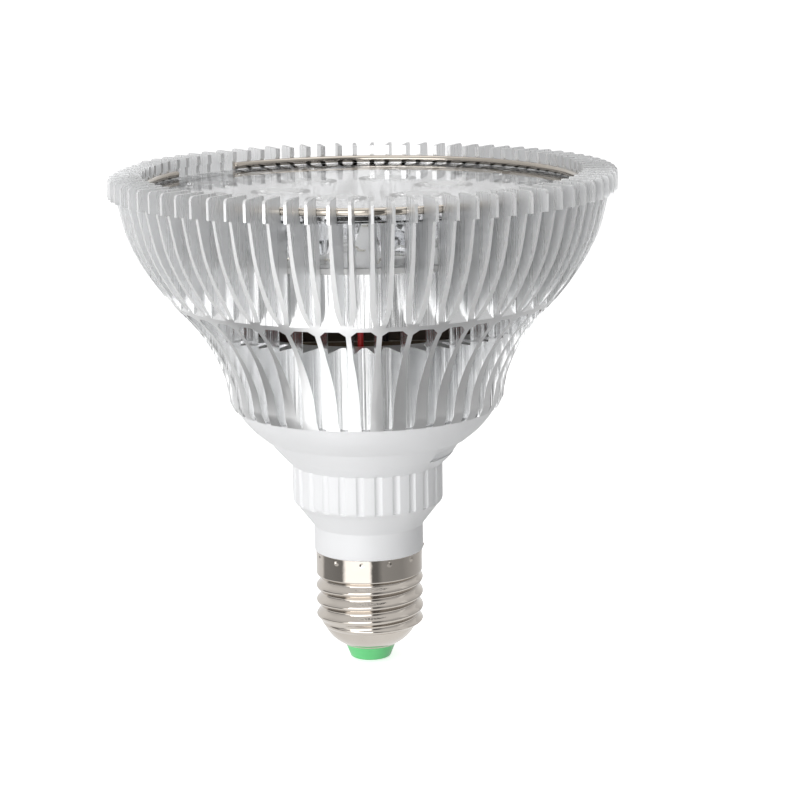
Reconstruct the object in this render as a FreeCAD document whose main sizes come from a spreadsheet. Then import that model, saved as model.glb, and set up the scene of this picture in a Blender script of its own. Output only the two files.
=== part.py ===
import FreeCAD, Part
import math
import os
import Sketcher
from FreeCAD import Placement, Rotation, Vector

# Grow light bulb: a screw-base lamp with a turned aluminium heat sink, eighteen
# light-emitting diodes under one moulded lens, and a white plastic driver housing.
# The lamp stands on its contact, with +Z up to the lens. The origin is the tip of
# the centre contact on the lamp's axis.

document = FreeCAD.newDocument("grow_light_bulb")
sheet = document.addObject("Spreadsheet::Sheet", "sizes")


class Length:
    """A number together with the sheet formula that gives it."""

    def __init__(self, number, formula):
        self.number = number
        self.formula = formula

    def __add__(self, other):
        other = as_length(other)
        return Length(self.number + other.number, f"({self.formula} + {other.formula})")

    def __sub__(self, other):
        other = as_length(other)
        return Length(self.number - other.number, f"({self.formula} - {other.formula})")

    def __mul__(self, other):
        other = as_length(other)
        return Length(self.number * other.number, f"({self.formula} * {other.formula})")

    def __truediv__(self, other):
        other = as_length(other)
        return Length(self.number / other.number, f"({self.formula} / {other.formula})")

    def __neg__(self):
        return Length(-self.number, f"(0 - {self.formula})")


def as_length(value):
    if isinstance(value, Length):
        return value
    return Length(float(value), repr(float(value)))


def size(name, value):
    """Writes one driving dimension in the sheet and hands it back as a Length."""
    size.row += 1
    sheet.set(f"A{size.row}", name)
    sheet.set(f"B{size.row}", str(value))
    sheet.setAlias(f"B{size.row}", name)
    return Length(float(value), f"sizes.{name}")


size.row = 0
zero = as_length(0)

# Heights stack from the contact tip up to the rim.
contact_proud = size("contact_proud", 0.6)
insulator_height = size("insulator_height", 3.5)
cap_cone_height = size("cap_cone_height", 4.6)
thread_length = size("thread_length", 14.3)
cap_band_height = size("cap_band_height", 5.2)
neck_height = size("neck_height", 6.6)
shoulder_height = size("shoulder_height", 6.3)
collar_height = size("collar_height", 9.1)
lower_bowl_height = size("lower_bowl_height", 6.6)
upper_bowl_height = size("upper_bowl_height", 7.9)
heat_sink_height = size("heat_sink_height", 57.3)

cap_bottom = contact_proud + insulator_height
thread_bottom = cap_bottom + cap_cone_height
thread_top = thread_bottom + thread_length
cap_top = thread_top + cap_band_height
shoulder_bottom = cap_top + neck_height
collar_bottom = shoulder_bottom + shoulder_height
collar_top = collar_bottom + collar_height
crease = collar_top + lower_bowl_height
sink_bottom = crease + upper_bowl_height
rim_top = sink_bottom + heat_sink_height

# Clearances between pieces that fit in one another.
fit_gap = size("fit_gap", 0.15)
wire_gap = size("wire_gap", 0.1)

# Screw cap: a rolled brass sheet with a right-hand knuckle thread.
cap_wall = size("cap_wall", 0.4)
cap_band_radius = size("cap_band_radius", 13.05)
thread_crest_radius = size("thread_crest_radius", 13.2)
thread_root_radius = size("thread_root_radius", 12.1)
thread_pitch = size("thread_pitch", 3.63)
thread_start_angle = size("thread_start_angle", 235)
thread_fade = size("thread_fade", 1.6)
thread_steps = size("thread_steps", 12)
cap_cone_radius = size("cap_cone_radius", 11.2)
cap_mouth_radius = size("cap_mouth_radius", 6.8)
cap_cone_curve = size("cap_cone_curve", 9)
dimple_count = size("dimple_count", 12)
dimple_radius = size("dimple_radius", 0.6)
dimple_depth = size("dimple_depth", 0.2)
dimple_drop = size("dimple_drop", 1.0)
dimple_first_angle = size("dimple_first_angle", 22)

# Insulator and contact in the mouth of the cap.
insulator_tip_radius = size("insulator_tip_radius", 4.9)
insulator_head_radius = size("insulator_head_radius", 7.2)
insulator_head_rise = size("insulator_head_rise", 1.6)
insulator_head_height = size("insulator_head_height", 1.4)
contact_radius = size("contact_radius", 2.4)
contact_pin_radius = size("contact_pin_radius", 1.1)
contact_pin_height = size("contact_pin_height", 9)

# Driver housing: one white moulding.
housing_wall = size("housing_wall", 1.6)
neck_radius = size("neck_radius", 13.4)
neck_rounding = size("neck_rounding", 0.4)
spigot_length = size("spigot_length", 5.0)
collar_radius = size("collar_radius", 18.4)
shoulder_lip = size("shoulder_lip", 0.6)
crease_radius = size("crease_radius", 24.3)
crease_step = size("crease_step", 0.6)
crease_step_height = size("crease_step_height", 0.2)
bowl_curve = size("bowl_curve", 22)
sleeve_height = size("sleeve_height", 7.5)
flute_count = size("flute_count", 26)
flute_depth = size("flute_depth", 0.45)
flute_radius = size("flute_radius", 0.7)
flute_first_angle = size("flute_first_angle", -96.1)
recess_angle = size("recess_angle", 54)
recess_turn = size("recess_turn", -8)
recess_height = size("recess_height", 3.8)
recess_floor_radius = size("recess_floor_radius", 20.4)
recess_wall = size("recess_wall", 1.4)
recess_end_angle = size("recess_end_angle", 4)
guide_length = size("guide_length", 8)
guide_thickness = size("guide_thickness", 1.2)
guide_depth = size("guide_depth", 1.6)

# Heat sink: an extrusion with forty Y-shaped fins, turned to a bowl on a lathe.
rim_radius = size("rim_radius", 61)
rim_rounding = size("rim_rounding", 1.0)
rim_band_height = size("rim_band_height", 4.0)
rim_step = size("rim_step", 0.9)
rim_step_height = size("rim_step_height", 0.5)
core_radius = size("core_radius", 31)
core_wall = size("core_wall", 2)
core_height = size("core_height", 19.5)
foot_ledge = size("foot_ledge", 1.4)
foot_radius = core_radius + foot_ledge
foot_chamfer_height = size("foot_chamfer_height", 2.2)
skirt_ledge = size("skirt_ledge", 1.1)
skirt_radius = foot_radius + skirt_ledge
skirt_height = size("skirt_height", 3.0)
waist_ledge = size("waist_ledge", 0.8)
waist_radius = skirt_radius + waist_ledge
waist_height = size("waist_height", 7.4)
housing_rim_inset = size("housing_rim_inset", 0.5)
housing_rim_radius = foot_radius - housing_rim_inset
waist_curve = size("waist_curve", 42)
turning_point_share = size("turning_point_share", 0.7344)
turning_point_radius = rim_radius * turning_point_share
turning_point_height = size("turning_point_height", 24.7)
bowl_outer_curve = size("bowl_outer_curve", 59.5)
fin_count = size("fin_count", 40)
fin_first_angle = size("fin_first_angle", 4.1)
web_share = size("web_share", 0.7525)
web_inner_radius = rim_radius * web_share
web_wall = size("web_wall", 1.0)
stem_root_half = size("stem_root_half", 1.85)
stem_half = size("stem_half", 0.6)
stem_taper_share = size("stem_taper_share", 0.57)
stem_taper_radius = core_radius + (web_inner_radius - core_radius) * stem_taper_share
flare_length = size("flare_length", 1.1)
flare_half = size("flare_half", 2.0)
arm_thickness = size("arm_thickness", 1.3)
arm_tip_thickness = size("arm_tip_thickness", 0.6)
arm_fork_half = size("arm_fork_half", 1.25)
arm_bend_share = size("arm_bend_share", 0.8361)
arm_bend_radius = rim_radius * arm_bend_share
arm_bend_half = size("arm_bend_half", 2.5)
arm_tip_half = size("arm_tip_half", 2.7)
arm_curve = size("arm_curve", 15.4)
arm_inner_curve = size("arm_inner_curve", 11)
crotch_gap = size("crotch_gap", 0.9)
crotch_rounding = size("crotch_rounding", 0.45)
boss_count = size("boss_count", 4)
boss_first_angle = size("boss_first_angle", 62.6)
boss_rise = size("boss_rise", 2.4)
boss_radius = core_radius + boss_rise
boss_notch = size("boss_notch", 0.9)
boss_notch_half = size("boss_notch_half", 0.45)
board_seat_depth = size("board_seat_depth", 18.1)
lens_seat_depth = size("lens_seat_depth", 6.0)

# Optics and light board.
lens_ledge = size("lens_ledge", 8.8)
lens_radius = rim_radius - lens_ledge
lens_plate_thickness = size("lens_plate_thickness", 1.6)
lens_skirt_wall = size("lens_skirt_wall", 1.2)
collimator_top_radius = size("collimator_top_radius", 7.2)
collimator_bottom_radius = size("collimator_bottom_radius", 4.5)
collimator_cup_radius = size("collimator_cup_radius", 3.4)
collimator_cup_depth = size("collimator_cup_depth", 3.6)
collimator_lift = size("collimator_lift", 2.3)
board_ledge = size("board_ledge", 4.7)
board_radius = lens_radius - board_ledge
throat_share = size("throat_share", 0.5034)
throat_radius = core_radius + (web_inner_radius - core_radius) * throat_share
board_thickness = size("board_thickness", 1.4)
inner_ring_radius = size("inner_ring_radius", 20)
inner_ring_count = size("inner_ring_count", 6)
outer_ring_inset = size("outer_ring_inset", 7.5)
outer_ring_radius = board_radius - outer_ring_inset
outer_ring_count = size("outer_ring_count", 12)
emitter_first_angle = size("emitter_first_angle", 12)
emitter_radius = size("emitter_radius", 4.0)
emitter_height = size("emitter_height", 1.7)
emitter_ledge = size("emitter_ledge", 0.7)
emitter_slope = size("emitter_slope", 0.3)
dome_radius = size("dome_radius", 2.8)
emitter_lead_span = size("emitter_lead_span", 13.6)
emitter_lead_width = size("emitter_lead_width", 1.2)
emitter_lead_thickness = size("emitter_lead_thickness", 0.4)
snap_wire_radius = size("snap_wire_radius", 0.9)
snap_groove_height = size("snap_groove_height", 2.1)
snap_groove_depth = size("snap_groove_depth", 0.9)
snap_lip_depth = size("snap_lip_depth", 0.45)
snap_gap_angle = size("snap_gap_angle", 23)
snap_gap_centre = size("snap_gap_centre", 140.5)

# Driver inside the housing and the core.
liner_wall = size("liner_wall", 0.5)
liner_height = size("liner_height", 11)
driver_board_thickness = size("driver_board_thickness", 1.6)
driver_board_half = size("driver_board_half", 14.6)
driver_board_top_half = size("driver_board_top_half", 20)
driver_board_bottom = size("driver_board_bottom", 39.4)
driver_board_step = size("driver_board_step", 56.5)
driver_board_shoulder = size("driver_board_shoulder", 63)
driver_board_top = size("driver_board_top", 80)
lead_radius = size("lead_radius", 0.7)
lead_bend = size("lead_bend", 4)
lead_hole_radius = size("lead_hole_radius", 1.3)
supply_wire_radius = size("supply_wire_radius", 0.5)
lead_hole_across = size("lead_hole_across", 4)
lead_hole_along = size("lead_hole_along", -9)
red_lead_run = size("red_lead_run", -24.5)
red_lead_across = size("red_lead_across", -1.1)
red_lead_start = size("red_lead_start", 76)
black_lead_run = size("black_lead_run", 20)
transformer_width = size("transformer_width", 16)
transformer_depth = size("transformer_depth", 10)
transformer_height = size("transformer_height", 16)
transformer_core_wall = size("transformer_core_wall", 3)
transformer_winding_proud = size("transformer_winding_proud", 0.8)
transformer_place = size("transformer_place", 70)
output_can_radius = size("output_can_radius", 5)
output_can_height = size("output_can_height", 15)
input_can_radius = size("input_can_radius", 4)
input_can_height = size("input_can_height", 10)
choke_radius = size("choke_radius", 4.5)
choke_height = size("choke_height", 8)
choke_across = size("choke_across", 8)
choke_rise = size("choke_rise", 8)
output_can_inset = size("output_can_inset", 1)
input_can_across = size("input_can_across", 6)
input_can_rise = size("input_can_rise", 8)
bridge_length = size("bridge_length", 6.5)
bridge_depth = size("bridge_depth", 2.5)
bridge_height = size("bridge_height", 5)
bridge_across = size("bridge_across", -6)
bridge_rise = size("bridge_rise", 7)
chip_length = size("chip_length", 5)
chip_depth = size("chip_depth", 1.6)
chip_height = size("chip_height", 4)
chip_across = size("chip_across", 3)
transistor_length = size("transistor_length", 6.5)
transistor_depth = size("transistor_depth", 2.3)
transistor_height = size("transistor_height", 6)
transistor_across = size("transistor_across", -6)
transistor_rise = size("transistor_rise", 5)
film_length = size("film_length", 10)
film_depth = size("film_depth", 6)
film_height = size("film_height", 8)
film_inset = size("film_inset", 1)

document.recompute()

parts = []


def finished(piece, label):
    """Names a finished sub-part and puts it on the list to be written."""
    piece.Label = label
    parts.append(piece)
    return piece


def origin_plane(body, role):
    for feature in body.Origin.OriginFeatures:
        if feature.Role == role:
            return feature


def arc_between(start, end, radius):
    """Circular arc from start to end; a positive radius bulges to the right of the way."""
    chord = end - start
    half = chord.Length / 2
    rise = math.sqrt(radius * radius - half * half)
    left = Vector(-chord.y, chord.x, 0).normalize()
    centre = start + chord / 2 + left * math.copysign(rise, radius)
    first, last = (start, end) if radius > 0 else (end, start)
    first_angle = math.atan2(first.y - centre.y, first.x - centre.x)
    last_angle = math.atan2(last.y - centre.y, last.x - centre.x)
    if last_angle < first_angle:
        last_angle += 2 * math.pi
    circle = Part.Circle(centre, Vector(0, 0, 1), abs(radius))
    return Part.ArcOfCircle(circle, first_angle, last_angle)


def closed_sketch(body, name, role, outline):
    """Sketch of one closed outline whose corners and arcs are bound to the sheet.

    Each corner is (across, up) or (across, up, radius): the radius turns the stretch
    that leaves the corner into an arc.
    """
    sketch = body.newObject("Sketcher::SketchObject", name)
    sketch.AttachmentSupport = [(origin_plane(body, role), "")]
    sketch.MapMode = "FlatFace"
    add_outline(sketch, outline)
    return sketch


def add_outline(sketch, outline):
    corners = [(as_length(corner[0]), as_length(corner[1])) for corner in outline]
    points = [Vector(across.number, up.number, 0) for across, up in corners]
    starts = []
    ends = []
    for index, corner in enumerate(outline):
        start = points[index]
        end = points[(index + 1) % len(points)]
        if len(corner) == 3:
            radius = as_length(corner[2])
            geometry = sketch.addGeometry(arc_between(start, end, radius.number), False)
            starts.append((geometry, 1 if radius.number > 0 else 2))
            ends.append((geometry, 2 if radius.number > 0 else 1))
            constraint = sketch.addConstraint(
                Sketcher.Constraint("Radius", geometry, abs(radius.number)))
            formula = radius.formula if radius.number > 0 else (-radius).formula
            sketch.setExpression(f"Constraints[{constraint}]", formula)
        else:
            geometry = sketch.addGeometry(Part.LineSegment(start, end), False)
            starts.append((geometry, 1))
            ends.append((geometry, 2))
    for index, (across, up) in enumerate(corners):
        geometry, point = starts[index]
        previous, last = ends[index - 1]
        sketch.addConstraint(Sketcher.Constraint("Coincident", previous, last, geometry, point))
        for kind, distance in (("DistanceX", across), ("DistanceY", up)):
            constraint = sketch.addConstraint(
                Sketcher.Constraint(kind, -1, 1, geometry, point, distance.number))
            sketch.setExpression(f"Constraints[{constraint}]", distance.formula)


def add_circle(sketch, across, up, radius):
    across = as_length(across)
    up = as_length(up)
    circle = Part.Circle(Vector(across.number, up.number, 0), Vector(0, 0, 1), radius.number)
    geometry = sketch.addGeometry(circle, False)
    for kind, distance in (("DistanceX", across), ("DistanceY", up)):
        constraint = sketch.addConstraint(
            Sketcher.Constraint(kind, -1, 1, geometry, 3, distance.number))
        sketch.setExpression(f"Constraints[{constraint}]", distance.formula)
    constraint = sketch.addConstraint(Sketcher.Constraint("Radius", geometry, radius.number))
    sketch.setExpression(f"Constraints[{constraint}]", radius.formula)


def turn_profile(body, name, outline):
    """Revolves a closed outline in the XZ plane about the Z axis."""
    sketch = closed_sketch(body, name + "_profile", "XZ_Plane", outline)
    turned = body.newObject("PartDesign::Revolution", name)
    turned.Profile = sketch
    turned.ReferenceAxis = (sketch, ["V_Axis"])
    turned.Angle = 360
    body.Tip = turned
    return turned


def pad_sketch(body, name, sketch, height, lift=zero):
    sketch.setExpression(".AttachmentOffset.Base.z", lift.formula)
    pad = body.newObject("PartDesign::Pad", name)
    pad.Profile = sketch
    pad.setExpression("Length", height.formula)
    body.Tip = pad
    return pad


def circle_point(radius, angle):
    """Point at a radius and an angle in degrees, as a pair of Lengths."""
    turn = math.radians(angle)
    return radius * math.cos(turn), radius * math.sin(turn)


# Heat sink. The lathe form is the turned outline: the bowl outside, and the snap
# ring groove, lens seat, board seat, throat and bore inside.
def lathe_form():
    body = document.addObject("PartDesign::Body", "lathe_form")
    lens_seat = rim_top - lens_seat_depth
    board_seat = rim_top - board_seat_depth
    groove_bottom = lens_seat + lens_plate_thickness
    groove_top = groove_bottom + snap_groove_height
    lens_bore = lens_radius + fit_gap
    core_top = sink_bottom + core_height
    band_bottom = rim_top - rim_band_height
    outline = [
        (core_radius - core_wall, sink_bottom),
        (foot_radius, sink_bottom),
        (skirt_radius, sink_bottom + foot_chamfer_height),
        (skirt_radius, sink_bottom + skirt_height),
        (waist_radius, sink_bottom + waist_height, -waist_curve),
        (turning_point_radius, sink_bottom + turning_point_height, bowl_outer_curve),
        (rim_radius - rim_step, band_bottom - rim_step_height),
        (rim_radius, band_bottom),
        (rim_radius, rim_top - rim_rounding, rim_rounding),
        (rim_radius - rim_rounding, rim_top),
        (lens_bore + snap_lip_depth, rim_top),
        (lens_bore + snap_lip_depth, groove_top),
        (lens_bore + snap_groove_depth, groove_top),
        (lens_bore + snap_groove_depth, groove_bottom),
        (lens_bore, groove_bottom),
        (lens_bore, lens_seat),
        (board_radius + fit_gap, lens_seat),
        (board_radius + fit_gap, board_seat),
        (throat_radius, board_seat),
        (throat_radius, core_top),
        (core_radius - core_wall, core_top),
    ]
    turn_profile(body, "turned_outline", outline)
    return body


def on_circle(radius, up):
    """Point at a given height on a circle about the axis, on the +X side."""
    return Vector(math.sqrt(radius * radius - up * up), up, 0)


def turned(point, angle):
    return Rotation(Vector(0, 0, 1), angle).multVec(point)


def arm_edges(side, turn):
    """Outline of one arm of a fin's Y, from the crotch out to the tip and back to the web.

    The stem's centre line is at the angle turn, and side is 1 or -1 for the arm's side.
    """
    web_outer = web_inner_radius.number + web_wall.number
    blank = rim_radius.number + rim_rounding.number
    bend = arm_bend_radius.number
    arm = arm_thickness.number
    tip = arm_tip_thickness.number
    rounding = crotch_rounding.number
    crotch = web_outer + crotch_gap.number
    root = on_circle(web_outer, arm_fork_half.number)
    places = [
        Vector(crotch - rounding, 0, 0),
        Vector(crotch, rounding, 0),
        Vector(bend, arm_bend_half.number - arm, 0),
        Vector(blank, arm_tip_half.number - tip, 0),
        Vector(blank, arm_tip_half.number, 0),
        Vector(bend, arm_bend_half.number, 0),
        root,
    ]
    radii = [rounding, arm_inner_curve.number, 0, 0, 0, arm_curve.number]
    signs = [-1, -1, 0, 0, 0, 1]
    points = [turned(Vector(place.x, side * place.y, 0), turn) for place in places]
    edges = []
    for index, radius in enumerate(radii):
        start, end = points[index], points[index + 1]
        edges.append(stretch(start, end, side * signs[index] * radius))
    return edges, points[0], points[-1]


def stretch(start, end, radius):
    """Edge from start to end, straight where the radius is zero."""
    if radius:
        return arc_between(start, end, radius).toShape()
    return Part.LineSegment(start, end).toShape()


def sector_section(has_boss):
    """Section of the extrusion from the middle of one stem to the middle of the next.

    It holds half of each stem with one arm of its Y, the web between them, the core
    tube's wall and, in a boss sector, the screw boss. The sector's middle is on +X.
    """
    half_pitch = 180 / fin_count.number
    core = core_radius.number
    bore = core - core_wall.number
    web = web_inner_radius.number
    lower_arm, lower_crotch, lower_root = arm_edges(1, -half_pitch)
    upper_arm, upper_crotch, upper_root = arm_edges(-1, half_pitch)
    lower_bore = turned(Vector(bore, 0, 0), -half_pitch)
    upper_bore = turned(Vector(bore, 0, 0), half_pitch)
    outside = [stretch(lower_bore, lower_crotch, 0), *lower_arm,
               stretch(lower_root, upper_root, web + web_wall.number),
               *upper_arm,
               stretch(upper_crotch, upper_bore, 0),
               stretch(upper_bore, lower_bore, -bore)]
    root = on_circle(core, stem_root_half.number)
    taper = Vector(stem_taper_radius.number, stem_half.number, 0)
    flare = Vector(web - flare_length.number, stem_half.number, 0)
    corner = on_circle(web, flare_half.number)
    if has_boss:
        rise = (boss_radius.number - root.x) / (taper.x - root.x)
        root = root + (taper - root) * rise
    lower = [turned(point, -half_pitch) for point in (root, taper, flare, corner)]
    upper = [turned(Vector(point.x, -point.y, 0), half_pitch)
             for point in (corner, flare, taper, root)]
    hollow = [stretch(lower[index], lower[index + 1], 0) for index in range(3)]
    hollow.append(stretch(lower[3], upper[0], web))
    hollow.extend(stretch(upper[index], upper[index + 1], 0) for index in range(3))
    if has_boss:
        notch = boss_notch_half.number
        floor = [upper[3], Vector(boss_radius.number, notch, 0),
                 Vector(boss_radius.number - boss_notch.number, 0, 0),
                 Vector(boss_radius.number, -notch, 0), lower[0]]
        hollow.extend(stretch(floor[index], floor[index + 1], 0) for index in range(4))
    else:
        hollow.append(stretch(upper[3], lower[0], -core))
    outer_wire = Part.Wire(Part.__sortEdges__(outside))
    return Part.makeFace([outer_wire, Part.Wire(hollow)], "Part::FaceMakerBullseye")


def sink_sector(name, has_boss, form):
    """One turned sector of the heat sink, where the extrusion meets the lathe form."""
    section = document.addObject("Part::Feature", name + "_section")
    section.Shape = sector_section(has_boss)
    section.Placement = Placement(Vector(0, 0, sink_bottom.number), Rotation())
    blank = document.addObject("Part::Extrusion", name + "_blank")
    blank.Base = section
    blank.DirMode = "Custom"
    blank.Dir = Vector(0, 0, 1)
    blank.Solid = True
    blank.setExpression("LengthFwd", heat_sink_height.formula)
    sector = document.addObject("Part::Common", name)
    sector.Base = blank
    sector.Tool = form
    document.recompute()
    return sector.Shape


def skin_of(sector):
    """Faces of a sector without those that its neighbours close."""
    half_pitch = math.radians(180 / fin_count.number)
    skin = []
    for face in sector.Faces:
        angles = [abs(math.atan2(vertex.Y, vertex.X)) for vertex in face.Vertexes]
        if any(abs(angle - half_pitch) > 1e-6 for angle in angles):
            skin.append(face)
    return skin


def heat_sink():
    """Forty sectors round the axis, sewn into one solid."""
    form = lathe_form()
    plain = skin_of(sink_sector("plain_sector", False, form))
    bossed = skin_of(sink_sector("boss_sector", True, form))
    pitch = 360 / fin_count.number
    count = int(fin_count.number)
    boss_places = {round((boss_first_angle.number + 360 / boss_count.number * index
                          - fin_first_angle.number) / pitch - 0.5) % count
                   for index in range(int(boss_count.number))}
    faces = []
    for index in range(count):
        angle = fin_first_angle.number + pitch * (index + 0.5)
        for face in bossed if index in boss_places else plain:
            copy = face.copy()
            copy.rotate(Vector(0, 0, 0), Vector(0, 0, 1), angle)
            faces.append(copy)
    shell = Part.Shell(faces)
    shell.sewShape()
    sink = document.addObject("Part::Feature", "heat_sink")
    sink.Shape = Part.Solid(shell)
    return sink


# Screw cap. Each level of the knuckle thread is a circle whose centre is off the
# axis by the thread's half depth and goes once round it in one pitch.
def thread_loft(shrink):
    """Solid of the threaded stretch, smaller all round by shrink."""
    low = thread_bottom.number
    length = thread_length.number
    pitch = thread_pitch.number
    middle = (thread_crest_radius.number + thread_root_radius.number) / 2
    depth = (thread_crest_radius.number - thread_root_radius.number) / 2
    count = round(length / pitch * thread_steps.number)
    rings = []
    for index in range(count + 1):
        rise = length * index / count
        fade_in = min(1, rise / thread_fade.number)
        fade_out = min(1, (length - rise) / thread_fade.number)
        fade = min(fade_in, fade_out)
        fade = fade * fade * (3 - 2 * fade)
        end_radius = cap_cone_radius.number if rise < length / 2 else cap_band_radius.number
        radius = end_radius + (middle - end_radius) * fade
        angle = math.radians(thread_start_angle.number + 360 * rise / pitch)
        centre = Vector(depth * fade * math.cos(angle), depth * fade * math.sin(angle),
                        low + rise)
        rings.append(Part.Wire([Part.Circle(centre, Vector(0, 0, 1), radius - shrink).toShape()]))
    return Part.makeLoft(rings, True, True)


def cap_blank(name, shrink):
    """Solid of the whole cap outside, or inside when shrink is the sheet's thickness."""
    body = document.addObject("PartDesign::Body", name)
    slope = shrink * 0.5
    turn_profile(body, name + "_cone", [
        (0, cap_bottom),
        (cap_mouth_radius - shrink, cap_bottom),
        (cap_mouth_radius - shrink, cap_bottom + slope + 0.01, cap_cone_curve),
        (cap_cone_radius - shrink, thread_bottom),
        (0, thread_bottom),
    ])
    band = document.addObject("Part::Cylinder", name + "_band")
    band.setExpression("Radius", (cap_band_radius - shrink).formula)
    band.setExpression("Height", cap_band_height.formula)
    band.setExpression("Placement.Base.z", thread_top.formula)
    thread = document.addObject("Part::Feature", name + "_thread")
    thread.Shape = thread_loft(shrink.number)
    whole = document.addObject("Part::MultiFuse", name + "_whole")
    whole.Shapes = [body, thread, band]
    return whole


def screw_cap():
    outside = cap_blank("cap_outside", zero)
    inside = cap_blank("cap_inside", cap_wall)
    dimples = []
    for index in range(int(dimple_count.number)):
        angle = dimple_first_angle.number + 360 / dimple_count.number * index
        across, along = circle_point(cap_band_radius + dimple_radius - dimple_depth, angle)
        dimple = document.addObject("Part::Sphere", f"dimple_{index + 1:02d}")
        dimple.setExpression("Radius", dimple_radius.formula)
        place(dimple, across, along, cap_top - dimple_drop)
        dimples.append(dimple)
    hollow = document.addObject("Part::Cut", "cap_sheet")
    hollow.Base = outside
    hollow.Tool = inside
    return finished(cut_all(hollow, dimples, "cap_dimpled"), "screw_cap")


def place(item, across, along, up):
    item.setExpression("Placement.Base.x", as_length(across).formula)
    item.setExpression("Placement.Base.y", as_length(along).formula)
    item.setExpression("Placement.Base.z", as_length(up).formula)


def cut_all(base, tools, name):
    """Cuts a group of tools from a piece."""
    group = document.addObject("Part::Compound", name + "_tools")
    group.Links = tools
    result = document.addObject("Part::Cut", name)
    result.Base = base
    result.Tool = group
    return result


def cylinder(name, radius, height, across, along, up):
    item = document.addObject("Part::Cylinder", name)
    item.setExpression("Radius", as_length(radius).formula)
    item.setExpression("Height", as_length(height).formula)
    place(item, across, along, up)
    return item


def block(name, length, width, height, across, along, up):
    """Box whose place is the middle of its lower face."""
    item = document.addObject("Part::Box", name)
    length, width, height = as_length(length), as_length(width), as_length(height)
    item.setExpression("Length", length.formula)
    item.setExpression("Width", width.formula)
    item.setExpression("Height", height.formula)
    place(item, as_length(across) - length / 2, as_length(along) - width / 2, up)
    return item


def base_insulator():
    """Moulded insulator: a frustum below the cap, a neck in its mouth and a head inside."""
    body = document.addObject("PartDesign::Body", "insulator")
    neck = cap_mouth_radius - cap_wall - fit_gap
    head_bottom = cap_bottom + insulator_head_rise
    turn_profile(body, "insulator_turned", [
        (contact_pin_radius + wire_gap, contact_proud),
        (insulator_tip_radius, contact_proud),
        (cap_mouth_radius - wire_gap, cap_bottom),
        (neck, cap_bottom),
        (neck, head_bottom),
        (insulator_head_radius, head_bottom),
        (insulator_head_radius, head_bottom + insulator_head_height),
        (contact_pin_radius + wire_gap, head_bottom + insulator_head_height),
    ])
    return finished(body, "base_insulator")


def centre_contact():
    """Solder button with its pin through the insulator."""
    body = document.addObject("PartDesign::Body", "contact")
    dome = contact_radius * 3
    turn_profile(body, "contact_turned", [
        (0, 0),
        (contact_radius * 0.5, 0, dome),
        (contact_radius, contact_proud),
        (contact_pin_radius, contact_proud),
        (contact_pin_radius, contact_pin_height),
        (0, contact_pin_height),
    ])
    return finished(body, "centre_contact")


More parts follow.
